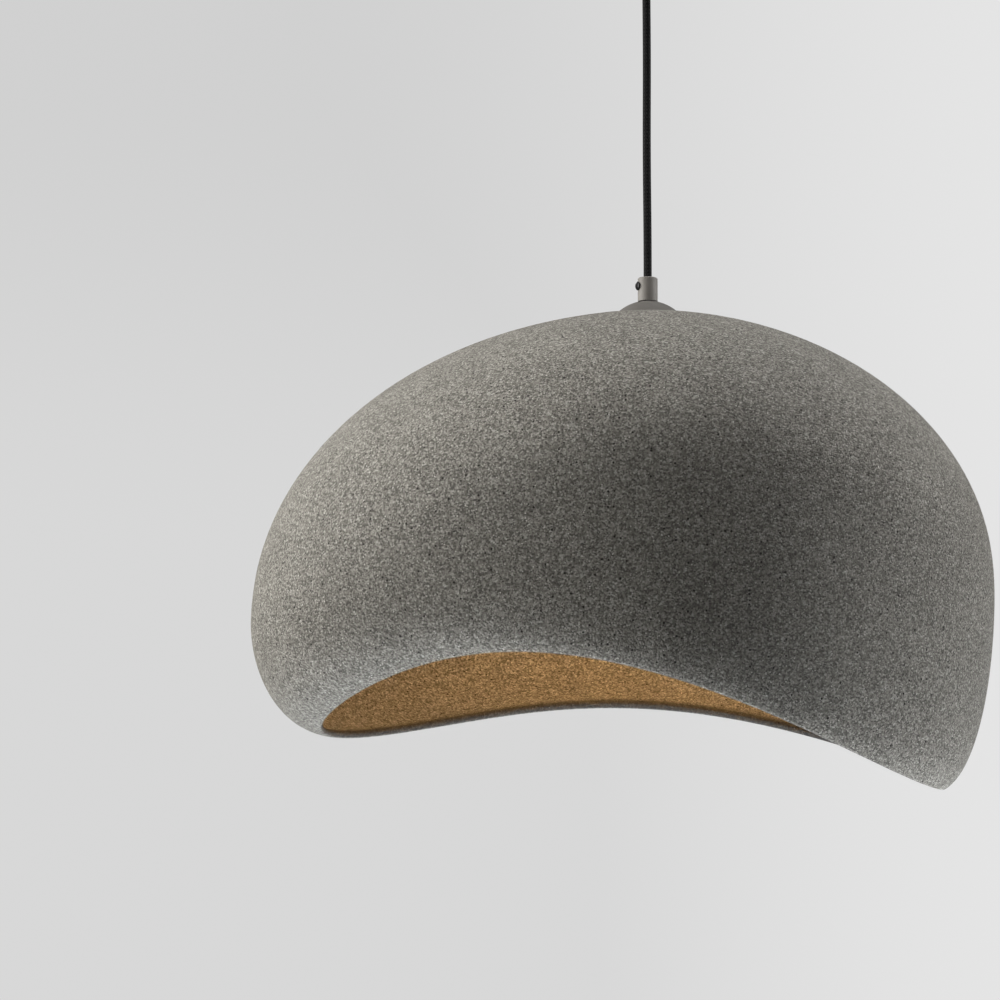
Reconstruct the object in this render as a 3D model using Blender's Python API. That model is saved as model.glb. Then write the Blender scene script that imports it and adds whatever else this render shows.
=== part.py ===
"""Pendant ceiling light: a stone-grained asymmetric dome shade on a textile cord.

Metres, +Z up. The origin is on the ceiling, on the cord's axis, and everything hangs below it.
Heights are given in millimetres below the ceiling, so they are negative.
"""
import math

import bmesh
import bpy
from mathutils import Matrix, Vector

MM = 0.001
GAP = 0.3  # air left between two pieces that touch

# Ceiling bracket, a folded steel strip
BRACKET_HALF = 42.0
BRACKET_WIDTH = 24.0
STRIP = 2.0
TAB_DEPTH = 18.0
CEILING_HOLE_X = 30.0
EARTH_SCREW_X = -14.0

# Canopy cup
CUP_R = 52.0
CUP_TOP = -0.5
CUP_BOTTOM = -28.0
CUP_WALL = 1.6
CUP_EDGE_R = 5.0
SIDE_SCREW_Z = -12.0

# The two cord grips: one under the canopy, one on top of the lamp
GRIP_R = 7.5
GRIP_LENGTH = 18.2
GRIP_EDGE_R = 1.1
CORD_BORE_R = 3.6
MOUTH_R = 5.0
MOUTH_DEPTH = 2.5
GRIP_SCREW_DROP = 6.6
GRIP_SCREW_AZIMUTH = math.radians(198)
GRIP_TOP = CUP_BOTTOM - GAP
GRIP_MOUTH = GRIP_TOP - GRIP_LENGTH

# Textile cord between the two grips
CORD_R = 3.1
CORD_LENGTH = 225.2
CORD_TUCK = 1.5  # how far each end sits inside its flared mouth

# Lamp head, downwards from the lower grip
SLEEVE_TOP = GRIP_MOUTH - CORD_LENGTH
SLEEVE_BOTTOM = SLEEVE_TOP - GRIP_LENGTH
THREAD_R = 4.9
THREAD_HOLE_R = 5.2
CLEAR_HOLE_R = 5.3
CAP_SPHERE_R = 34.0
CAP_R = 26.5
CAP_WALL = 1.4
CAP_TOP = SLEEVE_BOTTOM - GAP
SHADE_TOP = CAP_TOP - 12.8

# Shade: reach and height of its widest line, seen from the cord's axis
REACH_LEFT = 298.5
REACH_RIGHT = 258.0
REACH_FRONT = 234.0
REACH_BACK = 228.0
WAIST_LEFT = 230.0
WAIST_RIGHT = 202.0
WAIST_FRONT = 142.0
WAIST_BACK = 178.0
# Rim: its depth between the lobes, the two lobes that hang lower and the two rises between them
RIM_DEPTH = 271.0
LEFT_LOBE = 43.6
LEFT_LOBE_AZIMUTH = math.radians(176)
LEFT_LOBE_TIGHTNESS = 6.3
RIGHT_LOBE = 94.0
RIGHT_LOBE_AZIMUTH = math.radians(-20.7)
RIGHT_LOBE_TIGHTNESS = 3.0
FRONT_RISE = 2.6
FRONT_RISE_AZIMUTH = math.radians(-90)
FRONT_RISE_TIGHTNESS = 1.5
LEFT_RISE = 2.9
LEFT_RISE_AZIMUTH = math.radians(-140)
LEFT_RISE_TIGHTNESS = 8.0
# Inward roll below the widest line, and how far round it goes before the rim
ROLL_LEFT = 56.0
ROLL_RIGHT = 45.0
ROLL_FRONT = 31.0
ROLL_BACK = 74.0
ROLL_END_LEFT = math.radians(88)
ROLL_END_RIGHT = math.radians(84)
ROLL_END_FRONT = math.radians(76)
ROLL_END_BACK = math.radians(76)
# The wall is a little thicker to the right and at the back, so the shade hangs level
SHADE_WALL = 6.0
WALL_TO_RIGHT = 0.055
WALL_TO_BACK = 0.084
SHADE_SECTORS = 56
DOME_RINGS = 10
ROLL_RINGS = 7

# Inside the shade, downwards from its top
WASHER_R = 18.0
WASHER_TOP = SHADE_TOP - SHADE_WALL - 2.0
NUT_FLATS = 14.0
NUT_TOP = WASHER_TOP - 2.0 - GAP
HOLDER_TOP = NUT_TOP - 5.0 - GAP
HOLDER_R = 20.0
HOLDER_SPLIT = HOLDER_TOP - 22.0
HOLDER_BOTTOM = HOLDER_SPLIT - 34.0
CORE_TOP = HOLDER_SPLIT - 3.0
CORE_BOTTOM = CORE_TOP - 7.5
SOCKET_R = 13.7
BULB_TOP = CORE_BOTTOM - 2.1
BULB_THREAD_R = 13.1
COLLAR_TOP = BULB_TOP - 24.0
GLOBE_NECK = COLLAR_TOP - 26.0
GLOBE_R = 30.0
GLOBE_BOTTOM = GLOBE_NECK - 60.0
NIPPLE_TOP = SLEEVE_BOTTOM + 8.0
NIPPLE_BOTTOM = HOLDER_TOP - 10.0

ROUND = 32
SMALL_ROUND = 24
LEAD_R = 1.1
LEAD_OFFSET = 1.35


def clear_scene():
    for thing in list(bpy.data.objects):
        bpy.data.objects.remove(thing, do_unlink=True)


def paint(name, colour, roughness, metallic=0.0):
    """A plain surface with one colour, one roughness and one metallic value."""
    surface = bpy.data.materials.new(name)
    surface.use_nodes = True
    shader = surface.node_tree.nodes["Principled BSDF"]
    shader.inputs["Base Color"].default_value = (*colour, 1.0)
    shader.inputs["Roughness"].default_value = roughness
    shader.inputs["Metallic"].default_value = metallic
    surface.diffuse_color = (*colour, 1.0)
    return surface


def add_object(name, data, surface):
    """Links a mesh or a curve as one named piece."""
    thing = bpy.data.objects.new(name, data)
    bpy.context.scene.collection.objects.link(thing)
    thing.data.materials.append(surface)
    return thing


def add_mesh(name, bm, surface, place=Matrix()):
    """Writes a finished bmesh out as a smooth-shaded piece with its normals facing out."""
    bmesh.ops.recalc_face_normals(bm, faces=bm.faces)
    mesh = bpy.data.meshes.new(name)
    bm.to_mesh(mesh)
    bm.free()
    mesh.shade_smooth()
    mesh.set_sharp_from_angle(angle=math.radians(35))
    thing = add_object(name, mesh, surface)
    thing.matrix_world = place
    return thing


def turned(name, outline, surface, steps=SMALL_ROUND, place=Matrix()):
    """Turns an outline of (radius, height) about Z. One that starts on the axis isn't closed."""
    bm = bmesh.new()
    points = [bm.verts.new((radius * MM, 0.0, height * MM)) for radius, height in outline]
    pairs = list(zip(points, points[1:]))
    if outline[0][0] > 0:
        pairs.append((points[-1], points[0]))
    edges = [bm.edges.new(pair) for pair in pairs]
    bmesh.ops.spin(bm, geom=points + edges, cent=(0, 0, 0), axis=(0, 0, 1),
                   angle=math.tau, steps=steps, use_merge=True)
    bmesh.ops.remove_doubles(bm, verts=bm.verts, dist=0.001 * MM)
    return add_mesh(name, bm, surface, place)


def arc(centre, radius, start, end, steps):
    """Points (radius, height) along a round stretch, between two angles in degrees."""
    angles = [math.radians(start + (end - start) * step / steps) for step in range(steps + 1)]
    return [(centre[0] + radius * math.cos(a), centre[1] + radius * math.sin(a)) for a in angles]


def rod(bm, radius, start, end, sides=16):
    """Adds a closed cylinder between two points given in millimetres."""
    start = Vector(start) * MM
    end = Vector(end) * MM
    along = end - start
    place = Matrix.Translation((start + end) / 2) @ along.to_track_quat("Z", "Y").to_matrix().to_4x4()
    bmesh.ops.create_cone(bm, cap_ends=True, segments=sides, radius1=radius * MM,
                          radius2=radius * MM, depth=along.length, matrix=place)


def cut(thing, cutter_bm):
    """Takes the cutter's shapes out of a piece."""
    bmesh.ops.recalc_face_normals(cutter_bm, faces=cutter_bm.faces)
    mesh = bpy.data.meshes.new(thing.name + "_cutter")
    cutter_bm.to_mesh(mesh)
    cutter_bm.free()
    cutter = bpy.data.objects.new(thing.name + "_cutter", mesh)
    bpy.context.scene.collection.objects.link(cutter)
    cutter.hide_render = True
    cutter.display_type = "WIRE"
    cutter.matrix_world = thing.matrix_world.copy()
    hole = thing.modifiers.new("holes", "BOOLEAN")
    hole.operation = "DIFFERENCE"
    hole.object = cutter


def screw(name, surface, head, shank, place, drive):
    """A screw along its own Z: the head's top faces +Z and the head's seat is at its origin.

    head and shank are (radius, length); drive is "hex" for a socket or "slot".
    """
    head_r, head_h = head
    shank_r, shank_length = shank
    edge = 0.25 * head_h
    outline = [(0, head_h), (head_r - edge, head_h), (head_r, head_h - edge), (head_r, 0)]
    outline += [(shank_r, 0), (shank_r, 0.4 - shank_length), (shank_r - 0.4, -shank_length)]
    outline += [(0, -shank_length)]
    thing = turned(name, outline, surface, 12, place)
    recess = bmesh.new()
    if drive == "hex":
        rod(recess, 0.48 * head_r, (0, 0, 0.35 * head_h), (0, 0, head_h + 1), 6)
    else:
        size = Matrix.Diagonal((2.4 * head_r * MM, 0.3 * head_r * MM, head_h * MM, 1))
        bmesh.ops.create_cube(recess, size=1.0, matrix=Matrix.Translation((0, 0, head_h * MM)) @ size)
    cut(thing, recess)
    return thing


def hex_nut(name, surface, top, height):
    """A hexagon nut with a plain bore, standing on the cord's axis."""
    bm = bmesh.new()
    rod(bm, NUT_FLATS / math.sqrt(3), (0, 0, top - height), (0, 0, top), 6)
    nut = add_mesh(name, bm, surface)
    bore = bmesh.new()
    rod(bore, THREAD_HOLE_R, (0, 0, top - height - 1), (0, 0, top + 1), SMALL_ROUND)
    cut(nut, bore)
    return nut


def outward(azimuth, radius, height):
    """Where a radial screw sits: its head looks away from the cord's axis."""
    side = Vector((math.cos(azimuth), math.sin(azimuth), 0))
    turn = side.to_track_quat("Z", "Y").to_matrix().to_4x4()
    return Matrix.Translation((side.x * radius * MM, side.y * radius * MM, height * MM)) @ turn


def upside_down(x, y, height):
    """Where a screw sits that is driven upwards from below."""
    return Matrix.Translation((x * MM, y * MM, height * MM)) @ Matrix.Rotation(math.pi, 4, "X")


def cable(name, surface, route, radius, step, roundness=2):
    """A round flexible piece along a smooth curve through its route points, in millimetres."""
    points = [Vector(point) for point in route]
    padded = [2 * points[0] - points[1], *points, 2 * points[-1] - points[-2]]
    smooth = []
    for before, start, end, after in zip(padded, padded[1:], padded[2:], padded[3:]):
        count = max(1, round((end - start).length / step))
        for index in range(count):
            t = index / count
            pull_in = (end - before) * 0.5
            pull_out = (after - start) * 0.5
            smooth.append(
                start * (2 * t**3 - 3 * t**2 + 1) + pull_in * (t**3 - 2 * t**2 + t)
                + end * (3 * t**2 - 2 * t**3) + pull_out * (t**3 - t**2))
    smooth.append(points[-1])
    curve = bpy.data.curves.new(name, "CURVE")
    curve.dimensions = "3D"
    curve.bevel_depth = radius * MM
    curve.bevel_resolution = roundness
    curve.use_fill_caps = True
    spline = curve.splines.new("POLY")
    spline.points.add(len(smooth) - 1)
    for target, point in zip(spline.points, smooth):
        target.co = (*(point * MM), 1.0)
    return add_object(name, curve, surface)


# --- Ceiling side -------------------------------------------------------------------------


def make_bracket(steel):
    """A strip with its two ends folded down, drilled for the ceiling screws."""
    half = BRACKET_HALF
    inner = half - STRIP
    outline = [(-half, 0), (half, 0), (half, -TAB_DEPTH), (inner, -TAB_DEPTH), (inner, -STRIP)]
    outline += [(-inner, -STRIP), (-inner, -TAB_DEPTH), (-half, -TAB_DEPTH)]
    bm = bmesh.new()
    front = [bm.verts.new((x * MM, -BRACKET_WIDTH / 2 * MM, z * MM)) for x, z in outline]
    face = bm.faces.new(front)
    grown = bmesh.ops.extrude_face_region(bm, geom=[face])
    moved = [item for item in grown["geom"] if isinstance(item, bmesh.types.BMVert)]
    bmesh.ops.translate(bm, verts=moved, vec=(0, BRACKET_WIDTH * MM, 0))
    bracket = add_mesh("ceiling_bracket", bm, steel)
    holes = bmesh.new()
    for side in (-1, 1):
        x = side * CEILING_HOLE_X
        rod(holes, 2.6, (x, 0, -STRIP - 1), (x, 0, 1))
    rod(holes, 2.1, (EARTH_SCREW_X, 0, -STRIP - 1), (EARTH_SCREW_X, 0, 1))
    cut(bracket, holes)


def make_terminal_block(plastic, steel, block_x=14.0, pole=5.0, row=4.0):
    """A two-pole connector under the strip, its clamp screws reached from below."""
    top = -STRIP - GAP - 0.2
    bottom = top - 11.0
    channel = top - 6.0
    half_x, half_y = 9.0, 7.5
    bm = bmesh.new()
    size = Matrix.Diagonal((2 * half_x * MM, 2 * half_y * MM, (top - bottom) * MM, 1))
    centre = Matrix.Translation((block_x * MM, 0, (top + bottom) / 2 * MM))
    bmesh.ops.create_cube(bm, size=1.0, matrix=centre @ size)
    block = add_mesh("terminal_block", bm, plastic)
    holes = bmesh.new()
    rod(holes, 1.8, (block_x, 0, bottom - 1), (block_x, 0, top + 1))
    cut(block, holes)
    wells = bmesh.new()
    number = 0
    for side in (-1, 1):
        x = block_x + side * pole
        rod(wells, 1.6, (x, -half_y - 1, channel), (x, half_y + 1, channel))
        for y in (-row, row):
            number += 1
            seat = upside_down(x, y, bottom + 1.8)
            screw(f"terminal_screw_{number}", steel, (1.5, 1.2), (1.1, 1.2), seat, "slot")
    cut(block, wells)
    shafts = bmesh.new()
    for side in (-1, 1):
        for y in (-row, row):
            x = block_x + side * pole
            rod(shafts, 1.9, (x, y, bottom - 1), (x, y, channel))
    cut(block, shafts)
    seat = upside_down(block_x, 0, bottom - GAP)
    screw("block_screw", steel, (2.7, 1.5), (1.5, -bottom - STRIP - 2 * GAP), seat, "slot")
    return block_x, pole, half_y, channel


def make_ceiling_leads(brown, blue, block_x, pole, half_y, channel):
    """Two leads from the connector's front into the canopy's cord grip."""
    inner_end = 2 - half_y
    front = -half_y - 2.2
    down = [(LEAD_OFFSET, 0, height) for height in (channel - 11, channel - 16, GRIP_MOUTH + 4)]
    live_x = block_x + pole
    live = [(live_x, inner_end, channel), (live_x, front, channel), (17, -13, channel - 2)]
    live += [(8.5, -13, channel - 4.5), (3, -9, channel - 6.5), (1.6, -1.6, channel - 9)]
    cable("ceiling_live_lead", brown, live + down, LEAD_R, 2.2)
    neutral_x = block_x - pole
    neutral = [(neutral_x, inner_end, channel), (neutral_x, front, channel), (5.5, -12, channel - 1)]
    neutral += [(-0.5, -9, channel - 2.5), (-2.6, -4, channel - 5), (-1.6, -0.6, channel - 8.5)]
    cable("ceiling_neutral_lead", blue, neutral + [(-x, y, z) for x, y, z in down], LEAD_R, 2.2)


def make_canopy(grey):
    """The cup that covers the bracket: open at the top, with holes for its screws and the grip."""
    edge, wall = CUP_EDGE_R, CUP_WALL
    inner = CUP_R - wall
    outline = [(CLEAR_HOLE_R, CUP_BOTTOM), *arc((CUP_R - edge, CUP_BOTTOM + edge), edge, -90, 0, 4)]
    outline += [(CUP_R, CUP_TOP), (inner, CUP_TOP)]
    outline += arc((CUP_R - edge, CUP_BOTTOM + edge), edge - wall, 0, -90, 3)
    outline += [(CLEAR_HOLE_R, CUP_BOTTOM + wall)]
    cup = turned("canopy_cup", outline, grey, ROUND)
    holes = bmesh.new()
    for side in (-1, 1):
        rod(holes, 2.0, (side * (inner - 2), 0, SIDE_SCREW_Z), (side * (CUP_R + 2), 0, SIDE_SCREW_Z))
    cut(cup, holes)


def grip_hole(grip, height):
    """Drills a grip's wall for its clamp screw."""
    hole = bmesh.new()
    side = Vector((math.cos(GRIP_SCREW_AZIMUTH), math.sin(GRIP_SCREW_AZIMUTH), 0))
    start = side * 2.0
    end = side * (GRIP_R + 2)
    rod(hole, 1.85, (start.x, start.y, height), (end.x, end.y, height))
    cut(grip, hole)


def grip_mouth(z, way):
    """The flared mouth's outline from the bore out to the grip's end face."""
    return [(CORD_BORE_R, z - way * MOUTH_DEPTH), (MOUTH_R, z)]


def make_canopy_grip(grey, black, steel):
    """The cord grip under the canopy: its threaded stem goes up through the cup to a lock nut."""
    stem_top = GRIP_TOP + 10.0
    edge = GRIP_EDGE_R
    outline = [*grip_mouth(GRIP_MOUTH, -1), *arc((GRIP_R - edge, GRIP_MOUTH + edge), edge, -90, 0, 3)]
    outline += [(GRIP_R, GRIP_TOP), (THREAD_R, GRIP_TOP), (THREAD_R, stem_top), (CORD_BORE_R, stem_top)]
    grip = turned("canopy_cord_grip", outline, grey)
    height = GRIP_MOUTH + GRIP_SCREW_DROP
    grip_hole(grip, height)
    hex_nut("canopy_lock_nut", steel, CUP_BOTTOM + CUP_WALL + GAP + 3.0, 3.0)
    screw("canopy_grip_screw", black, (3.3, 1.6), (1.5, 3.9),
          outward(GRIP_SCREW_AZIMUTH, GRIP_R + GAP, height), "hex")


def make_side_screws(black):
    """Two screws through the cup's wall that pinch it against the bracket's tabs."""
    for name, azimuth in (("canopy_side_screw_right", 0.0), ("canopy_side_screw_left", math.pi)):
        reach = CUP_R - BRACKET_HALF
        screw(name, black, (3.4, 1.8), (1.6, reach), outward(azimuth, CUP_R + GAP, SIDE_SCREW_Z), "hex")


def make_cord(cloth):
    """The textile cord hangs straight from the canopy's grip to the lamp's grip."""
    top = GRIP_MOUTH + CORD_TUCK
    bottom = SLEEVE_TOP - CORD_TUCK
    route = [(0, 0, top + (bottom - top) * step / 4) for step in range(5)]
    cable("suspension_cord", cloth, route, CORD_R, 14.0, 4)


# --- Lamp head ----------------------------------------------------------------------------


def make_lamp_grip(grey, black):
    """The lamp's cord grip: flared mouth on top, thread for the nipple below."""
    edge = GRIP_EDGE_R
    thread_end = NIPPLE_TOP + 1.0
    outline = [*grip_mouth(SLEEVE_TOP, 1), *arc((GRIP_R - edge, SLEEVE_TOP - edge), edge, 90, 0, 3)]
    outline += [(GRIP_R, SLEEVE_BOTTOM), (THREAD_HOLE_R, SLEEVE_BOTTOM), (THREAD_HOLE_R, thread_end)]
    outline += [(CORD_BORE_R, thread_end)]
    grip = turned("lamp_cord_grip", outline, grey)
    height = SLEEVE_TOP - GRIP_SCREW_DROP
    grip_hole(grip, height)
    screw("lamp_grip_screw", black, (3.3, 1.6), (1.5, 3.9),
          outward(GRIP_SCREW_AZIMUTH, GRIP_R + GAP, height), "hex")


def make_dome_cap(grey):
    """The low round cap between the grip and the shade, a thin spun shell."""
    def height(radius, sphere):
        return math.sqrt(sphere**2 - radius**2) - math.sqrt(sphere**2 - CLEAR_HOLE_R**2)

    skirt = 0.8
    steps = 5
    radii = [CLEAR_HOLE_R + (CAP_R - CLEAR_HOLE_R) * step / steps for step in range(steps + 1)]
    outline = [(radius, CAP_TOP + height(radius, CAP_SPHERE_R)) for radius in radii]
    base = outline[-1][1] - skirt
    outline += [(CAP_R, base), (CAP_R - CAP_WALL, base)]
    inner = [radius * (CAP_R - CAP_WALL) / CAP_R for radius in radii[:0:-1]]
    outline += [(radius, CAP_TOP - CAP_WALL + height(radius, CAP_SPHERE_R - CAP_WALL)) for radius in inner]
    outline += [(CLEAR_HOLE_R, CAP_TOP - CAP_WALL)]
    turned("dome_cap", outline, grey, ROUND)


def make_nipple(steel):
    """The hollow threaded rod that ties grip, cap, shade and lampholder together."""
    bore = THREAD_R - 1.0
    outline = [(bore, NIPPLE_BOTTOM), (THREAD_R, NIPPLE_BOTTOM), (THREAD_R, NIPPLE_TOP), (bore, NIPPLE_TOP)]
    turned("threaded_nipple", outline, steel)


def around(azimuth, left, right, front, back):
    """Blends four sizes by direction: right is +X, left is -X, front is -Y and back is +Y."""
    across, along = math.cos(azimuth), math.sin(azimuth)
    side = left if across < 0 else right
    end = front if along < 0 else back
    return side * across**2 + end * along**2


def shade_section(azimuth):
    """Outer outline (radius, height) in one direction, from the top hole down to the rim."""
    across, along = math.cos(azimuth), math.sin(azimuth)
    reach_x = REACH_LEFT if across < 0 else REACH_RIGHT
    reach_y = REACH_FRONT if along < 0 else REACH_BACK
    reach = 1 / math.hypot(across / reach_x, along / reach_y)
    waist = around(azimuth, WAIST_LEFT, WAIST_RIGHT, WAIST_FRONT, WAIST_BACK)
    roll = around(azimuth, ROLL_LEFT, ROLL_RIGHT, ROLL_FRONT, ROLL_BACK)

    def lobe(centre, tightness):
        return ((1 + math.cos(azimuth - centre)) / 2) ** tightness

    depth = RIM_DEPTH + LEFT_LOBE * lobe(LEFT_LOBE_AZIMUTH, LEFT_LOBE_TIGHTNESS)
    depth += RIGHT_LOBE * lobe(RIGHT_LOBE_AZIMUTH, RIGHT_LOBE_TIGHTNESS)
    depth -= FRONT_RISE * lobe(FRONT_RISE_AZIMUTH, FRONT_RISE_TIGHTNESS)
    depth -= LEFT_RISE * lobe(LEFT_RISE_AZIMUTH, LEFT_RISE_TIGHTNESS)
    roll_end = around(azimuth, ROLL_END_LEFT, ROLL_END_RIGHT, ROLL_END_FRONT, ROLL_END_BACK)
    drop = (depth - waist) / math.sin(roll_end)
    first = math.asin(CLEAR_HOLE_R / reach)
    section = []
    for ring in range(DOME_RINGS):
        angle = first + (math.pi / 2 - first) * ring / DOME_RINGS
        section.append((reach * math.sin(angle), waist * (math.cos(angle) - 1)))
    for ring in range(ROLL_RINGS + 1):
        angle = roll_end * ring / ROLL_RINGS
        section.append((reach - roll * (1 - math.cos(angle)), -waist - drop * math.sin(angle)))
    return section


def make_shade(stone):
    """One closed shell: the outer skin, an inner skin set in by the wall, and two joining edges."""
    bm = bmesh.new()
    outer = []
    for sector in range(SHADE_SECTORS):
        azimuth = math.tau * sector / SHADE_SECTORS
        way = Vector((math.cos(azimuth), math.sin(azimuth), 0))
        column = []
        for radius, height in shade_section(azimuth):
            point = way * radius + Vector((0, 0, SHADE_TOP + height))
            column.append(bm.verts.new(point * MM))
        outer.append(column)

    def skin(columns, flip):
        for left, right in zip(columns, columns[1:] + columns[:1]):
            for ring in range(len(left) - 1):
                corners = (left[ring], left[ring + 1], right[ring + 1], right[ring])
                bm.faces.new(corners[::-1] if flip else corners)

    skin(outer, False)
    bm.normal_update()
    inner = []
    for sector, column in enumerate(outer):
        azimuth = math.tau * sector / SHADE_SECTORS
        wall = SHADE_WALL * (1 + WALL_TO_RIGHT * math.cos(azimuth) + WALL_TO_BACK * math.sin(azimuth))
        inside = [vert.co - vert.normal * wall * MM for vert in column]
        inside[0] = column[0].co - Vector((0, 0, wall * MM))
        inner.append([bm.verts.new(point) for point in inside])
    skin(inner, True)
    for end in (0, -1):
        columns = zip(outer, outer[1:] + outer[:1], inner, inner[1:] + inner[:1])
        for left, right, left_in, right_in in columns:
            corners = (left[end], right[end], right_in[end], left_in[end])
            bm.faces.new(corners if end == 0 else corners[::-1])
    add_mesh("shade", bm, stone)


# --- Lampholder and bulb ------------------------------------------------------------------


def make_shade_fixings(steel):
    washer = [(CLEAR_HOLE_R, WASHER_TOP - 2.0), (WASHER_R, WASHER_TOP - 2.0)]
    washer += [(WASHER_R, WASHER_TOP), (CLEAR_HOLE_R, WASHER_TOP)]
    turned("shade_washer", washer, steel)
    hex_nut("nipple_nut", steel, NUT_TOP, 5.0)


def make_lampholder(black, ceramic, brass):
    wall = 1.8
    shoulder = 9.0
    bend = HOLDER_R - shoulder
    cap = [(CLEAR_HOLE_R, HOLDER_TOP), *arc((shoulder, HOLDER_TOP - bend), bend, 90, 0, 4)]
    cap += [(HOLDER_R, HOLDER_SPLIT), (HOLDER_R - wall, HOLDER_SPLIT)]
    cap += arc((shoulder, HOLDER_TOP - bend), bend - wall, 0, 90, 4)
    cap.append((CLEAR_HOLE_R, HOLDER_TOP - wall))
    turned("lampholder_cap", cap, black)
    lip = 15.2
    shell = [(HOLDER_R - wall, HOLDER_SPLIT - GAP), (HOLDER_R, HOLDER_SPLIT - GAP)]
    shell += [(HOLDER_R, HOLDER_BOTTOM), (lip, HOLDER_BOTTOM), (lip, HOLDER_BOTTOM + wall)]
    shell += [(HOLDER_R - wall, HOLDER_BOTTOM + wall)]
    turned("lampholder_shell", shell, black)
    core_r = HOLDER_R - wall - 0.6
    core = [(0, CORE_TOP), (core_r, CORE_TOP), (core_r, CORE_BOTTOM), (0, CORE_BOTTOM)]
    turned("lampholder_core", core, ceramic)
    top = CORE_BOTTOM - GAP
    socket = [(SOCKET_R, top), (SOCKET_R + 0.6, top), (SOCKET_R + 0.6, top - 20.0), (SOCKET_R, top - 20.0)]
    turned("socket_screw_shell", socket, brass)
    turned("socket_centre_contact", [(0, top), (4.0, top), (4.0, top - 1.2), (0, top - 1.2)], brass, 16)


def make_lamp_leads(brown, blue):
    """Two leads from the cord's lower end, through the nipple, to the lampholder's core."""
    for name, surface, side in (("lamp_live_lead", brown, 1), ("lamp_neutral_lead", blue, -1)):
        inside = side * LEAD_OFFSET
        start = SLEEVE_TOP - CORD_TUCK - 2.5
        route = [(inside, 0, height) for height in (start, NIPPLE_TOP, NIPPLE_BOTTOM)]
        route += [(side * 3.0, 0, NIPPLE_BOTTOM - 5)]
        route += [(side * 8.0, 0, CORE_TOP + 5), (side * 9.0, 0, CORE_TOP + GAP)]
        cable(name, surface, route, LEAD_R, 2.6)


def make_bulb(metal, brass, plastic, board, glass):
    tip = BULB_TOP
    turned("bulb_centre_contact", [(0, tip), (3.4, tip), (3.4, tip - 1.0), (0, tip - 1.0)], brass, 16)
    top = tip - 1.0 - GAP
    base_end = COLLAR_TOP + GAP
    base = [(0, top), (5.0, top), (11.0, top - 2.5), (BULB_THREAD_R, top - 4.0), (BULB_THREAD_R, base_end)]
    turned("bulb_screw_base", [*base, (0, base_end)], metal)
    wide = 20.0
    thin = 1.5
    collar = [(0, COLLAR_TOP), (13.0, COLLAR_TOP), (15.0, COLLAR_TOP - 6.0), (wide, GLOBE_NECK + GAP)]
    collar += [(wide - thin, GLOBE_NECK + GAP), (13.2, COLLAR_TOP - 6.0), (11.0, COLLAR_TOP - 2.0)]
    turned("bulb_collar", [*collar, (0, COLLAR_TOP - 2.0)], plastic)
    board_top = GLOBE_NECK + 4.0
    board_r = 16.0
    board_bottom = board_top - 1.6
    outline = [(0, board_top), (board_r, board_top), (board_r, board_bottom), (0, board_bottom)]
    turned("bulb_led_board", outline, board)
    globe_wall = 1.2
    centre = GLOBE_BOTTOM + GLOBE_R
    neck_angle = 28.0
    outer = arc((0, centre), GLOBE_R, -90, neck_angle, 7)
    inner = arc((0, centre), GLOBE_R - globe_wall, neck_angle, -90, 7)
    outer[0] = (0, GLOBE_BOTTOM)
    inner[-1] = (0, GLOBE_BOTTOM + globe_wall)
    neck = [(wide, GLOBE_NECK), (wide - globe_wall, GLOBE_NECK)]
    turned("bulb_globe", outer + neck + inner, glass)


def main():
    clear_scene()
    grey = paint("warm_grey_paint", (0.20, 0.19, 0.175), 0.45, 0.0)
    black = paint("blackened_steel", (0.02, 0.02, 0.02), 0.4, 1.0)
    steel = paint("zinc_plated_steel", (0.55, 0.56, 0.57), 0.35, 1.0)
    brass = paint("brass", (0.75, 0.55, 0.25), 0.3, 1.0)
    cloth = paint("black_textile", (0.018, 0.018, 0.018), 0.9)
    stone = paint("stone_grain", (0.21, 0.195, 0.18), 0.9)
    holder = paint("black_plastic", (0.02, 0.02, 0.02), 0.45)
    white = paint("white_plastic", (0.75, 0.75, 0.73), 0.45)
    ceramic = paint("white_ceramic", (0.8, 0.79, 0.75), 0.3)
    brown = paint("brown_insulation", (0.16, 0.06, 0.03), 0.5)
    blue = paint("blue_insulation", (0.03, 0.10, 0.35), 0.5)
    aluminium = paint("bare_aluminium", (0.7, 0.7, 0.7), 0.35, 1.0)
    board = paint("board_white", (0.8, 0.8, 0.78), 0.5)
    glass = paint("opal_glass", (0.85, 0.83, 0.78), 0.35)

    make_bracket(steel)
    screw("earth_screw", brass, (3.5, 2.2), (1.8, 1.8), upside_down(EARTH_SCREW_X, 0, -STRIP - GAP), "slot")
    block = make_terminal_block(white, steel)
    make_ceiling_leads(brown, blue, *block)
    make_canopy(grey)
    make_canopy_grip(grey, black, steel)
    make_side_screws(black)
    make_cord(cloth)
    make_lamp_grip(grey, black)
    make_dome_cap(grey)
    make_nipple(steel)
    make_shade(stone)
    make_shade_fixings(steel)
    make_lampholder(holder, ceramic, brass)
    make_lamp_leads(brown, blue)
    make_bulb(aluminium, brass, white, board, glass)


main()
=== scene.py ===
import math

import bpy
from mathutils import Matrix, Vector
from mathutils.kdtree import KDTree


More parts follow.
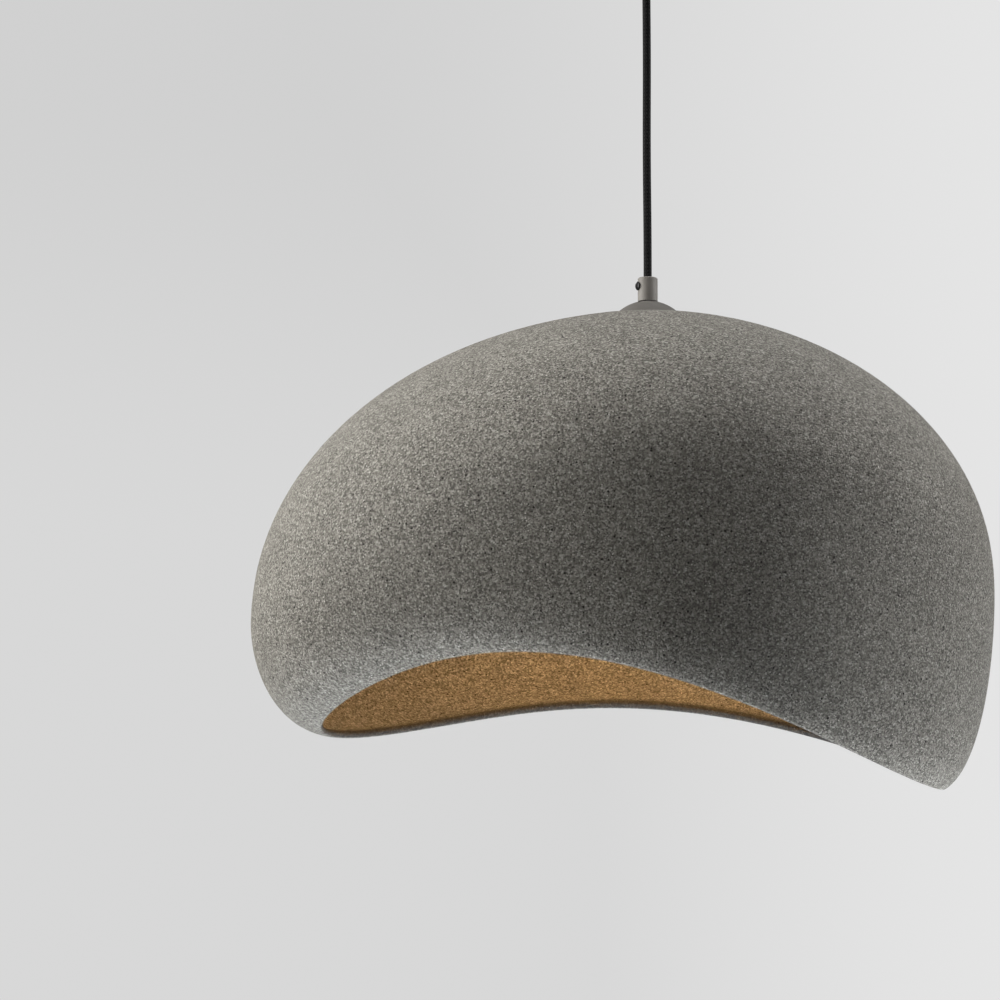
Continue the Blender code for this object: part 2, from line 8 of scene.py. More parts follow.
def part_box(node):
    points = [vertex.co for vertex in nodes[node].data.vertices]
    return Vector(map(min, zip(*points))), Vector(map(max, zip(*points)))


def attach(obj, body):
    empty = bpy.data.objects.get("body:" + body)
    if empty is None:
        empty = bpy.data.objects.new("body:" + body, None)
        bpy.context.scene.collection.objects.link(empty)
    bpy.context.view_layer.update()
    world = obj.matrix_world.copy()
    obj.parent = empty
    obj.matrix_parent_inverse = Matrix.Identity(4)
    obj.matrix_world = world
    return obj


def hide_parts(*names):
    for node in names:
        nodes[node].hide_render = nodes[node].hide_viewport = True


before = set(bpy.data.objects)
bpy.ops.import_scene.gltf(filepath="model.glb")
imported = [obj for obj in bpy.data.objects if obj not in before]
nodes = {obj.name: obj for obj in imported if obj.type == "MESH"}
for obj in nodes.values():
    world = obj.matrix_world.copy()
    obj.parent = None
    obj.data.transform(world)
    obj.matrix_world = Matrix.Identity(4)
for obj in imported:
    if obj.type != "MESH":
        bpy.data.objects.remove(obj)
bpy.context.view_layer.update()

MM = 0.001
FULL_TURN = math.tau
WELD = 0.002 * MM

# --- Camera -----------------------------------------------------------------------

GRIP_LOW, GRIP_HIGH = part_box("lamp_cord_grip")
SHADE_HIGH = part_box("shade")[1]
CEILING_GRIP_LOW, CEILING_GRIP_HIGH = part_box("canopy_cord_grip")
CORD_LOW, CORD_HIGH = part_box("suspension_cord")
CORD_DIAMETER = 0.0062
VIEW_DISTANCE = 4.0
VIEW_RISE = math.radians(9.3)
VIEW_WIDTH = 0.75
VIEW_LEFT_OF_CORD = 0.1115
VIEW_BELOW_SHADE_TOP = 0.1385


def make_camera():
    """A long lens from the front, a little below the lamp, looking slightly up."""
    lens = bpy.data.cameras.new("camera")
    lens.sensor_width = 36.0
    lens.lens = lens.sensor_width * VIEW_DISTANCE / VIEW_WIDTH
    camera = bpy.data.objects.new("camera", lens)
    bpy.context.scene.collection.objects.link(camera)
    ahead = Vector((0, math.cos(VIEW_RISE), math.sin(VIEW_RISE)))
    target = Vector((-VIEW_LEFT_OF_CORD, 0, SHADE_HIGH.z - VIEW_BELOW_SHADE_TOP))
    camera.location = target - ahead * VIEW_DISTANCE
    camera.rotation_euler = ahead.to_track_quat("-Z", "Y").to_euler()
    bpy.context.scene.camera = camera


# --- Hand tools -------------------------------------------------------------------


def put_down():
    """Leaves edit mode and lets go of everything."""
    if bpy.context.mode != "OBJECT":
        bpy.ops.object.mode_set(mode="OBJECT")
    bpy.ops.object.select_all(action="DESELECT")


def pick(piece):
    """Selects one piece alone and makes it the active one."""
    put_down()
    piece.select_set(True)
    bpy.context.view_layer.objects.active = piece


def settle(name):
    """Puts the active piece's place into its mesh and names it."""
    if bpy.context.mode != "OBJECT":
        bpy.ops.object.mode_set(mode="OBJECT")
    bpy.ops.object.transform_apply(location=True, rotation=True, scale=True)
    piece = bpy.context.active_object
    piece.name = name
    piece.data.name = name
    return piece


def modify(piece, kind, **settings):
    """Adds a modifier with its settings and applies it."""
    pick(piece)
    modifier = piece.modifiers.new(kind.lower(), kind)
    for key, value in settings.items():
        setattr(modifier, key, value)
    bpy.ops.object.modifier_apply(modifier=modifier.name)


def smooth(piece, degrees=35):
    """Shades a piece smooth, except across edges sharper than the angle given."""
    pick(piece)
    bpy.ops.object.shade_smooth_by_angle(angle=math.radians(degrees))


def turned(name, outline, steps=72, soften=0.0):
    """Turns an outline of (radius, height), drawn point by point, about Z.

    An outline that starts off the axis is closed. A width to soften rounds its corners.
    """
    put_down()
    first = outline[0]
    bpy.ops.mesh.primitive_plane_add(size=MM, location=(first[0], 0, first[1]))
    bpy.ops.object.mode_set(mode="EDIT")
    bpy.ops.mesh.select_mode(type="VERT")
    bpy.ops.mesh.merge(type="CENTER")
    path = list(outline[1:])
    if first[0] > 0:
        path.append(first)
    before = first
    for point in path:
        step = (point[0] - before[0], 0, point[1] - before[1])
        bpy.ops.mesh.extrude_region_move(TRANSFORM_OT_translate={"value": step})
        before = point
    bpy.ops.mesh.select_all(action="SELECT")
    bpy.ops.mesh.spin(steps=steps, angle=FULL_TURN, center=(0, 0, 0), axis=(0, 0, 1))
    bpy.ops.mesh.select_all(action="SELECT")
    bpy.ops.mesh.remove_doubles(threshold=WELD)
    bpy.ops.mesh.normals_make_consistent(inside=False)
    piece = settle(name)
    if soften:
        modify(piece, "BEVEL", width=soften, segments=3, limit_method="ANGLE",
               angle_limit=math.radians(40))
    smooth(piece)
    return piece


def arc(centre, radius, start, end, steps):
    """Points (radius, height) along a round stretch, between two angles in degrees."""
    angles = [math.radians(start + (end - start) * step / steps) for step in range(steps + 1)]
    return [(centre[0] + radius * math.cos(angle), centre[1] + radius * math.sin(angle))
            for angle in angles]


def copy_of(node, name):
    """A merged copy of a CAD node's mesh, with its flat faces whole again."""
    source = nodes[node]
    piece = bpy.data.objects.new(name, source.data.copy())
    bpy.context.scene.collection.objects.link(piece)
    piece.data.materials.clear()
    pick(piece)
    bpy.ops.object.mode_set(mode="EDIT")
    bpy.ops.mesh.select_all(action="SELECT")
    bpy.ops.mesh.remove_doubles(threshold=WELD)
    bpy.ops.mesh.customdata_custom_splitnormals_clear()
    bpy.ops.object.mode_set(mode="OBJECT")
    return piece


def place(piece, finish, slot, body, *replaced):
    """Gives a piece its finish, its body and the CAD nodes it stands for."""
    piece.data.materials.clear()
    piece.data.materials.append(finish)
    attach(piece, body)
    if replaced:
        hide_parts(*replaced)


# --- Finishes ---------------------------------------------------------------------


class Level:
    """A value that changes over a surface; arithmetic on it adds the Math nodes."""

    def __init__(self, finish, socket):
        self.finish = finish
        self.socket = socket

    def math(self, operation, *others):
        """One Math node, with this level first and the others after it."""
        values = {0: self}
        values.update({index + 1: other for index, other in enumerate(others)})
        return self.finish.node("ShaderNodeMath", {"operation": operation}, values).out()

    def __add__(self, other):
        return self.math("ADD", other)

    def __sub__(self, other):
        return self.math("SUBTRACT", other)

    def __mul__(self, other):
        return self.math("MULTIPLY", other)

    def __rsub__(self, other):
        return (self * -1.0).math("ADD", other)

    __radd__ = __add__
    __rmul__ = __mul__


class Made:
    """A node that was added to a finish."""

    def __init__(self, finish, node):
        self.finish = finish
        self.added = node

    def out(self, key=0):
        """One output, by its name or number."""
        return Level(self.finish, self.added.outputs[key])


class Finish:
    """A surface finish: a Principled shader and the nodes that feed it."""

    def __init__(self, name, **constants):
        self.material = bpy.data.materials.new(name)
        self.material.use_nodes = True
        self.tree = self.material.node_tree
        self.shader = self.tree.nodes["Principled BSDF"]
        for key, value in constants.items():
            self.shader.inputs[key.replace("_", " ")].default_value = value

    def node(self, kind, settings=None, sockets=None):
        """Adds a node: its settings are set first, then its sockets are filled or linked."""
        added = self.tree.nodes.new(kind)
        for key, value in (settings or {}).items():
            if key == "stops":
                self.set_stops(added.color_ramp, value)
            else:
                setattr(added, key, value)
        for key, value in (sockets or {}).items():
            self.feed(added.inputs[key], value)
        return Made(self, added)

    def set_stops(self, ramp, stops):
        while len(ramp.elements) < len(stops):
            ramp.elements.new(0.5)
        for element, (position, colour) in zip(ramp.elements, stops):
            element.position = position
            element.color = (*colour, 1.0)

    def feed(self, socket, value):
        """Links a level to a socket, or sets the socket to a constant."""
        if isinstance(value, Level):
            self.tree.links.new(value.socket, socket)
        else:
            socket.default_value = value

    def surface(self, **levels):
        """Feeds the shader's own sockets, named with underscores for spaces."""
        for key, value in levels.items():
            self.feed(self.shader.inputs[key.replace("_", " ")], value)

    def place(self, scale=(1, 1, 1)):
        """Object coordinates, stretched where a pattern is drawn out one way."""
        where = self.node("ShaderNodeTexCoord").out("Object")
        return self.node("ShaderNodeMapping", None, {"Vector": where, "Scale": scale}).out()

    def noise(self, where, scale, detail=2.0, roughness=0.5):
        sockets = {"Vector": where, "Scale": scale, "Detail": detail, "Roughness": roughness}
        return self.node("ShaderNodeTexNoise", None, sockets).out(0)

    def cells(self, where, scale):
        return self.node("ShaderNodeTexVoronoi", None, {"Vector": where, "Scale": scale})

    def ramp(self, level, *stops):
        return self.node("ShaderNodeValToRGB", {"stops": stops}, {"Fac": level}).out()

    def blend(self, factor, first, second):
        """Mixes two colours."""
        settings = {"data_type": "RGBA", "blend_type": "MIX"}
        added = self.node("ShaderNodeMix", settings, {0: factor})
        self.feed(added.added.inputs[6], first)
        self.feed(added.added.inputs[7], second)
        return added.out(2)

    def bump(self, height, strength, distance):
        """Raises and lowers the look of the surface by a height."""
        sockets = {"Height": height, "Strength": strength, "Distance": distance}
        self.surface(Normal=self.node("ShaderNodeBump", None, sockets).out())


STONE_TONES = (
    (0.1, (0.032, 0.03, 0.026)), (0.34, (0.12, 0.114, 0.102)), (0.5, (0.2, 0.191, 0.171)),
    (0.66, (0.3, 0.289, 0.26)), (0.9, (0.56, 0.545, 0.5)),
)
PIT_COLOUR = (0.02, 0.018, 0.016, 1.0)
CHIP_COLOUR = (0.62, 0.6, 0.56, 1.0)
# Painted shade at the rim: the near-black that the lip and the inside next to it are darkened
# towards, and how strongly.
RIM_SHADE_COLOUR = (0.02, 0.02, 0.021, 1.0)
RIM_SHADE_STRENGTH = 0.8
GRAIN_DEPTH = 1.1 * MM


def stone_finish():
    """Sand and stone dust bound in resin: warm grey, millimetre grains, a few pits and chips, and
    painted shade darkening the rim's lip and the inside next to it.
    """
    stone = Finish("stone_grain", Specular_IOR_Level=0.3)
    where = stone.place()

    def scattered(scale, size, share, channel):
        """Round dots of a size, on the cells whose own tone is past the share given."""
        cells = stone.cells(where, scale)
        tone = stone.node("ShaderNodeSeparateColor", None, {"Color": cells.out("Color")})
        chosen = tone.out(channel).math("GREATER_THAN", share)
        return cells.out("Distance").math("LESS_THAN", size) * chosen

    grain = stone.cells(where, 890.0)
    tone = stone.node("ShaderNodeSeparateColor", None, {"Color": grain.out("Color")}).out(0)
    fine = stone.noise(where, 1900.0, 3.0, 0.7)
    coarse = stone.noise(where, 620.0, 4.0, 0.65)
    patch = stone.noise(where, 24.0, 4.0, 0.6)
    mix = tone * 0.5 + coarse * 0.55 + fine * 0.35 + patch * 0.12 - 0.25
    pit = scattered(230.0, 0.19, 0.78, 0)
    chip = scattered(380.0, 0.2, 0.86, 1)
    colour = stone.blend(chip, stone.ramp(mix, *STONE_TONES), CHIP_COLOUR)
    colour = stone.blend(pit, colour, PIT_COLOUR)
    # Painted shade: where the 'rim' value is high, on the lip and the inside next to it, the stone
    # is darkened towards near-black.
    rim = stone.node("ShaderNodeAttribute", {"attribute_name": "rim"}).out("Fac")
    colour = stone.blend(rim * RIM_SHADE_STRENGTH, colour, RIM_SHADE_COLOUR)
    stone.surface(Base_Color=colour, Roughness=0.8 + tone * 0.15)
    height = coarse * 1.2 + fine * 0.4 - grain.out("Distance") * 0.5 - pit * 0.8
    stone.bump(height, 1.0, GRAIN_DEPTH)
    return stone.material


def grey_finish(name, dark, pale):
    """Warm grey paint on turned metal, with a faint spray texture."""
    paint = Finish(name, Specular_IOR_Level=0.3)
    where = paint.place()
    fleck = paint.noise(where, 900.0, 2.0)
    cloud = paint.noise(where, 60.0, 3.0)
    colour = paint.ramp(cloud, (0.3, dark), (0.7, pale))
    paint.surface(Base_Color=colour, Roughness=0.5 + fleck * 0.16)
    paint.bump(fleck, 0.12, 0.12 * MM)
    return paint.material


def dark_metal_finish():
    """Blackened steel, rubbed a little paler in patches."""
    metal = Finish("blackened_steel", Metallic=1.0)
    where = metal.place()
    wear = metal.noise(where, 500.0, 4.0, 0.7)
    colour = metal.ramp(wear, (0.35, (0.012, 0.012, 0.013)), (0.8, (0.05, 0.05, 0.052)))
    metal.surface(Base_Color=colour, Roughness=0.3 + wear * 0.25)
    return metal.material


def plated_finish(name, dark, pale, roughness=0.25):
    """Plated or bare metal with a drawn, slightly uneven surface."""
    metal = Finish(name, Metallic=1.0)
    streak = metal.noise(metal.place(scale=(1, 1, 14)), 260.0, 3.0, 0.6)
    cloud = metal.noise(metal.place(), 90.0, 3.0)
    colour = metal.ramp(cloud, (0.3, dark), (0.7, pale))
    metal.surface(Base_Color=colour, Roughness=roughness + streak * 0.2)
    metal.bump(streak, 0.08, 0.05 * MM)
    return metal.material


def moulded_finish(name, dark, pale, roughness=0.4, grain=1100.0):
    """Moulded plastic or glazed ware: even colour, fine skin."""
    skin = Finish(name)
    where = skin.place()
    fine = skin.noise(where, grain, 2.0)
    cloud = skin.noise(where, 45.0, 3.0)
    colour = skin.ramp(cloud, (0.3, dark), (0.7, pale))
    skin.surface(Base_Color=colour, Roughness=roughness + fine * 0.12)
    skin.bump(fine, 0.1, 0.06 * MM)
    return skin.material


BRAID_CARRIERS = 10.0
BRAID_RISE = 2.9 * MM
YARN_DEPTH = 0.35 * MM
# From the painted shade in the grooves between yarns up to the painted highlight on their crests.
YARN_TONES_AND_SHADE = (
    (0.35, (0.003, 0.003, 0.0032)), (0.75, (0.011, 0.011, 0.0115)), (1.0, (0.035, 0.035, 0.036)),
)


def textile_finish():
    """Black braid: two sets of yarns cross each other round the cord, with painted shade in the
    grooves between them and painted highlight on their crests.
    """
    cloth = Finish("black_textile", Roughness=0.85, Specular_IOR_Level=0.12,
                   Sheen_Weight=0.04, Sheen_Roughness=0.5)
    where = cloth.node("ShaderNodeTexCoord").out("Object")
    axes = cloth.node("ShaderNodeSeparateXYZ", None, {"Vector": where})
    turn = axes.out("Y").math("ARCTAN2", axes.out("X")) * (BRAID_CARRIERS / 2)
    climb = axes.out("Z") * (math.pi / BRAID_RISE)
    left = (turn + climb).math("SINE")
    right = (turn - climb).math("SINE")
    over = left * right
    yarn = left.math("ABSOLUTE").math("MAXIMUM", right.math("ABSOLUTE"))
    fuzz = cloth.noise(where, 2600.0, 3.0, 0.7)
    # Painted shade and highlight: the tone follows the yarn relief, darker in the grooves and paler
    # on the crests and on the yarn lying over; the fuzz is the yarn's own tone.
    tone = yarn * 0.55 + fuzz * 0.5 + over * 0.12
    cloth.surface(Base_Color=cloth.ramp(tone, *YARN_TONES_AND_SHADE))
    cloth.bump(yarn * 0.8 + over * 0.35 + fuzz * 0.4, 0.8, YARN_DEPTH)
    return cloth.material


BULB_GLOW = 64.0
BULB_LIGHT = (1.0, 0.56, 0.2, 1.0)


def lit_glass_finish():
    """Opal bulb, lit: warm light from the whole globe."""
    opal = Finish("opal_glass", Roughness=0.3, Emission_Color=BULB_LIGHT,
                  Emission_Strength=BULB_GLOW)
    cloud = opal.noise(opal.place(), 80.0, 2.0)
    opal.surface(Base_Color=opal.ramp(cloud, (0.3, (0.82, 0.8, 0.75)), (0.7, (0.88, 0.86, 0.82))))
    return opal.material


STONE = stone_finish()
GREY = grey_finish("warm_grey_paint", (0.183, 0.173, 0.16), (0.212, 0.2, 0.185))
# Painted shade: the cap takes a darker copy of the sleeves' warm grey paint, standing in for the
# shade it sits in.
SHADED_CAP_GREY = grey_finish("shaded_cap_grey_paint", (0.118, 0.111, 0.103), (0.135, 0.128, 0.12))
DARK = dark_metal_finish()
ZINC = plated_finish("zinc_plate", (0.46, 0.47, 0.49), (0.6, 0.61, 0.62))
BRASS = plated_finish("brass", (0.62, 0.43, 0.18), (0.78, 0.57, 0.27), 0.2)
ALUMINIUM = plated_finish("bare_aluminium", (0.62, 0.62, 0.62), (0.74, 0.74, 0.74))
BLACK_PLASTIC = moulded_finish("black_plastic", (0.012, 0.012, 0.012), (0.02, 0.02, 0.02))
WHITE_PLASTIC = moulded_finish("white_plastic", (0.68, 0.68, 0.66), (0.76, 0.76, 0.74))
CERAMIC = moulded_finish("white_ceramic", (0.74, 0.73, 0.69), (0.82, 0.81, 0.77), 0.15, 500.0)
BOARD = moulded_finish("board_white", (0.74, 0.74, 0.72), (0.82, 0.82, 0.8))
BROWN = moulded_finish("brown_insulation", (0.12, 0.045, 0.02), (0.18, 0.07, 0.035))
BLUE = moulded_finish("blue_insulation", (0.02, 0.07, 0.27), (0.035, 0.11, 0.38))
CLOTH = textile_finish()
OPAL = lit_glass_finish()


# --- Cord -------------------------------------------------------------------------

CORD_POINTS = 25
CORD_WAVE = 0.25 * MM
WAVE_ACROSS = 7.0
WAVE_DEEP = 5.0
WAVE_START = 0.6


def make_cord():
    """The textile cord, pulled straight by the lamp, with the slight wave it keeps."""
    curve = bpy.data.curves.new("textile_cord", "CURVE")
    curve.dimensions = "3D"
    curve.bevel_depth = CORD_DIAMETER / 2
    curve.bevel_resolution = 8
    curve.use_fill_caps = True
    line = curve.splines.new("POLY")
    line.points.add(CORD_POINTS - 1)
    for index, point in enumerate(line.points):
        along = index / (CORD_POINTS - 1)
        hold = math.sin(math.pi * along)
        x = CORD_WAVE * hold * math.sin(WAVE_ACROSS * along + WAVE_START)
        y = CORD_WAVE * hold * math.cos(WAVE_DEEP * along)
        point.co = (x, y, CORD_HIGH.z + (CORD_LOW.z - CORD_HIGH.z) * along, 1.0)
    cord = bpy.data.objects.new("textile_cord", curve)
    bpy.context.scene.collection.objects.link(cord)
    place(cord, CLOTH, "black_textile", "cord", "suspension_cord")


# --- Shade ------------------------------------------------------------------------

LIP_ROUND = 2.5 * MM
SHADE_GROW = 1.0025  # makes up for what the subdivision draws in
SHARP = math.radians(50)
RIM_HALF = 3.0 * MM  # half the wall at the rim
# How far past the rim's half wall the painted shade fades out.
RIM_SHADE_FADE = 8.0 * MM
RIM_BELOW_TOP = 0.15  # the only sharp edges lower than this are the rim's
RIM_STEPS = 8
OUTER_FACE = 0.97  # the cosine past which a face counts as the shade's outside
LIP_TURN = 0.6  # how far the cosine goes on changing until the mark is full


def rim_edges(shade):
    """The rim's inner and outer corners, in order round it: the sharp turns low on the shade."""
    pick(shade)
    bpy.ops.object.mode_set(mode="EDIT")
    bpy.ops.mesh.select_mode(type="EDGE")
    bpy.ops.mesh.select_all(action="DESELECT")
    bpy.ops.mesh.edges_select_sharp(sharpness=SHARP)
    bpy.ops.object.mode_set(mode="OBJECT")
    limit = SHADE_HIGH.z - RIM_BELOW_TOP
    corners = [vert.co.copy() for vert in shade.data.vertices
               if vert.select and vert.co.z < limit]
    corners.sort(key=lambda point: math.atan2(point.y, point.x))
    pairs = list(zip(corners[::2], corners[1::2]))
    inner = [max(pair, key=lambda point: point.z) for pair in pairs]
    outer = [min(pair, key=lambda point: point.z) for pair in pairs]
    return inner, outer


def mark_rim_shade(shade, inner, outer):
    """Writes how near each point is to the rim's edge, as the strength of the painted shade that
    the finish puts on the lip and the inside next to it.
    """
    through = []
    tree = KDTree(len(inner) * RIM_STEPS)
    for index in range(len(inner)):
        ahead = (index + 1) % len(inner)
        for step in range(RIM_STEPS):
            high = inner[index].lerp(inner[ahead], step / RIM_STEPS)
            low = outer[index].lerp(outer[ahead], step / RIM_STEPS)
            tree.insert((high + low) / 2, len(through))
            through.append((high - low).normalized())
    tree.balance()
    # The 'rim' value is the strength of the painted shade at each point.
    near = shade.data.attributes.new("rim", "FLOAT", "POINT")
    for vert in shade.data.vertices:
        _, index, distance = tree.find(vert.co)
        turn = (vert.normal.dot(through[index]) + OUTER_FACE) / LIP_TURN
        inside = min(1.0, max(0.0, turn))
        fade = max(0.0, 1.0 - max(0.0, distance - RIM_HALF) / RIM_SHADE_FADE)
        near.data[vert.index].value = inside * fade * fade


def make_shade():
    """The shade, rounded at its rim by a bevel and over its whole dome by subdivision."""
    shade = copy_of("shade", "stone_shade")
    inner, outer = rim_edges(shade)
    bpy.ops.object.mode_set(mode="EDIT")
    bpy.ops.mesh.select_all(action="SELECT")
    bpy.ops.mesh.tris_convert_to_quads(face_threshold=math.radians(60),
                                       shape_threshold=math.radians(70))
    bpy.ops.mesh.select_all(action="DESELECT")
    bpy.ops.mesh.edges_select_sharp(sharpness=SHARP)
    bpy.ops.mesh.bevel(offset=LIP_ROUND, segments=4, profile=0.5)
    bpy.ops.mesh.select_all(action="SELECT")
    bpy.ops.transform.resize(value=(SHADE_GROW,) * 3, center_override=(0, 0, SHADE_HIGH.z))
    modify(shade, "SUBSURF", levels=2, render_levels=2)
    # Marks where the stone finish paints shade along the rim.
    mark_rim_shade(shade, inner, outer)
    smooth(shade, 60)
    place(shade, STONE, "stone_grain", "shade", "shade")


# --- Grips and cap ----------------------------------------------------------------

GRIP_RADIUS = (GRIP_HIGH.x - GRIP_LOW.x) / 2
BORE = 3.4 * MM
MOUTH = 4.6 * MM
MOUTH_DEPTH = 1.4 * MM
NIPPLE_HOLE = 5.3 * MM


def grip_outline(end, far, way):
    """A grip's outline: way is 1 where its mouth looks up and -1 where it looks down."""
    edge = 1.2 * MM
    corner = arc((GRIP_RADIUS - edge, end - way * edge), edge, 90 * way, 0, 6)
    return [(BORE, far), (BORE, end - way * MOUTH_DEPTH), (MOUTH, end), *corner, (GRIP_RADIUS, far)]


def make_grips():
    """The lamp's sleeve, and the canopy's grip with a threaded stem through the cup."""
    lamp = turned("lamp_grip_turned", grip_outline(GRIP_HIGH.z, GRIP_LOW.z, 1))
    place(lamp, GREY, "grey_paint", "lamp_grip", "lamp_cord_grip")
    cup_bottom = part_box("canopy_cup")[0].z
    stem = 4.9 * MM
    groove = 0.45 * MM
    seat = cup_bottom - 0.3 * MM
    outline = grip_outline(CEILING_GRIP_LOW.z, CEILING_GRIP_HIGH.z, -1)[:-1]
    outline += [(GRIP_RADIUS, seat), (stem, seat)]
    pitch = 1.0 * MM
    height = seat + pitch
    while height < CEILING_GRIP_HIGH.z - pitch:
        outline += [(stem, height), (stem - groove, height + pitch / 2)]
        height += pitch
    outline += [(stem, height), (stem, CEILING_GRIP_HIGH.z)]
    top = turned("canopy_grip_turned", outline)
    place(top, GREY, "grey_paint", "canopy", "canopy_cord_grip")


def make_dome_cap():
    """The low cap: a spun shell, its rolled foot reaching down to the curve of the shade."""
    low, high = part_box("dome_cap")
    bottom = low.z - 1.0 * MM
    radius = high.x
    sphere = 34.0 * MM
    wall = 1.4 * MM
    foot = 0.8 * MM
    count = 14

    def skin(reach, top, ball):
        """Points from the nipple's hole out to a radius, on a sphere that is at the top there."""
        crown = math.sqrt(ball**2 - NIPPLE_HOLE**2)
        return [(reach(r), top + math.sqrt(ball**2 - reach(r)**2) - crown) for r in radii]

    radii = [NIPPLE_HOLE + (radius - NIPPLE_HOLE) * step / count for step in range(count + 1)]
    outer = skin(lambda r: r, high.z, sphere)
    inner = skin(lambda r: r * (radius - wall) / radius, high.z - wall, sphere - wall)
    rolled = arc((radius - foot / 2, bottom + foot / 2), foot / 2, 0, -180, 6)
    outline = [*outer, *rolled, *inner[:0:-1], (NIPPLE_HOLE, high.z - wall)]
    cap = turned("dome_cap_spun", outline, 96)
    # The cap's darker grey is painted shade on the same paint as the sleeves.
    place(cap, SHADED_CAP_GREY, "grey_paint", "shade", "dome_cap")


# --- Screws -----------------------------------------------------------------------

GRIP_SCREW_TURN = math.radians(198)


def button_screw(head_radius, head_height, shank_radius, shank):
    """A button-head screw with a hexagon socket, its seat at the origin and its head up.

    The sizes given here are in millimetres.
    """
    dome = arc((head_radius * 0.45, head_height * 0.35), head_height * 0.65, 90, 20, 6)
    outline = [(0, head_height), *dome, (head_radius, head_height * 0.3), (head_radius, 0),
               (shank_radius, 0)]
    pitch = 0.5
    groove = 0.22
    point = 0.6
    taper = 0.4
    depth = pitch
    while depth < shank - point:
        outline += [(shank_radius, -depth), (shank_radius - groove, -depth - pitch / 2)]
        depth += pitch
    outline += [(shank_radius, -depth), (shank_radius - taper, -shank), (0, -shank)]
    screw = turned("button_screw", [(radius * MM, height * MM) for radius, height in outline], 36)
    put_down()
    bpy.ops.mesh.primitive_cylinder_add(vertices=6, radius=0.46 * head_radius * MM,
                                        depth=2 * head_height * MM,
                                        location=(0, 0, 1.35 * head_height * MM))
    key = settle("socket_key")
    modify(screw, "BOOLEAN", operation="DIFFERENCE", object=key)
    bpy.data.objects.remove(key)
    return screw


def drive_in(screw, name, body, node, way, seat):
    """Copies a screw to its seat, its head looking along the way given."""
    driven = bpy.data.objects.new(name, screw.data.copy())
    bpy.context.scene.collection.objects.link(driven)
    turn = way.to_track_quat("Z", "Y").to_matrix().to_4x4()
    driven.data.transform(Matrix.Translation(seat) @ turn)
    smooth(driven, 30)
    place(driven, DARK, "black_steel", body, node)


def make_screws():
    """A clamp screw in each grip, and two screws that hold the cup to its bracket."""
    gap = 0.3 * MM
    drop = 6.6 * MM
    grip_screw = button_screw(3.3, 1.6, 1.5, 3.9)
    way = Vector((math.cos(GRIP_SCREW_TURN), math.sin(GRIP_SCREW_TURN), 0))
    side = way * (GRIP_RADIUS + gap)
    drive_in(grip_screw, "lamp_grip_button_screw", "lamp_grip_screw", "lamp_grip_screw",
             way, side + Vector((0, 0, GRIP_HIGH.z - drop)))
    drive_in(grip_screw, "canopy_grip_button_screw", "canopy_grip_screw", "canopy_grip_screw",
             way, side + Vector((0, 0, CEILING_GRIP_LOW.z + drop)))
    bpy.data.objects.remove(grip_screw)
    side_screw = button_screw(3.4, 1.8, 1.6, 10.0)
    cup_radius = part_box("canopy_cup")[1].x
    for sign, word in ((1, "right"), (-1, "left")):
        node = f"canopy_side_screw_{word}"
        low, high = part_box(node)
        way = Vector((sign, 0, 0))
        seat = way * (cup_radius + gap) + Vector((0, 0, (low.z + high.z) / 2))
        drive_in(side_screw, f"canopy_button_screw_{word}", f"side_screw_{word}", node, way, seat)
    bpy.data.objects.remove(side_screw)


# --- Canopy -----------------------------------------------------------------------


def make_canopy():
    """The cup: a deep-drawn shell with a rounded bottom edge and a rolled rim."""
    low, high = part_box("canopy_cup")
    radius = high.x
    wall = 1.6 * MM
    edge = 5.0 * MM
    lip = wall / 2
    bend = (radius - edge, low.z + edge)
    outline = [(NIPPLE_HOLE, low.z), *arc(bend, edge, -90, 0, 10)]
    outline += arc((radius - lip, high.z - lip), lip, 0, 180, 8)
    outline += [*arc(bend, edge - wall, 0, -90, 8), (NIPPLE_HOLE, low.z + wall)]
    cup = turned("canopy_cup_drawn", outline, 128)
    place(cup, GREY, "grey_paint", "canopy", "canopy_cup")


def chamfered(node, finish, slot_name, body, width):
    """A CAD piece with its sharp edges broken, as a press or a mould leaves them."""
    piece = copy_of(node, node + "_finished")
    bpy.ops.object.mode_set(mode="EDIT")
    bpy.ops.mesh.select_all(action="SELECT")
    bpy.ops.mesh.dissolve_limited(angle_limit=math.radians(1))
    modify(piece, "BEVEL", width=width, segments=2, limit_method="ANGLE", angle_limit=SHARP,
           use_clamp_overlap=True)
    smooth(piece, 30)
    place(piece, finish, slot_name, body, node)


def make_fittings():
    """The two nuts, the bracket and the connector."""
    plated = {"canopy_lock_nut": "canopy", "nipple_nut": "shade", "ceiling_bracket": "mount"}
    for node, body in plated.items():
        chamfered(node, ZINC, "zinc_steel", body, 0.25 * MM)
    chamfered("terminal_block", WHITE_PLASTIC, "white_plastic", "mount", 0.3 * MM)


# --- Lampholder and bulb ----------------------------------------------------------


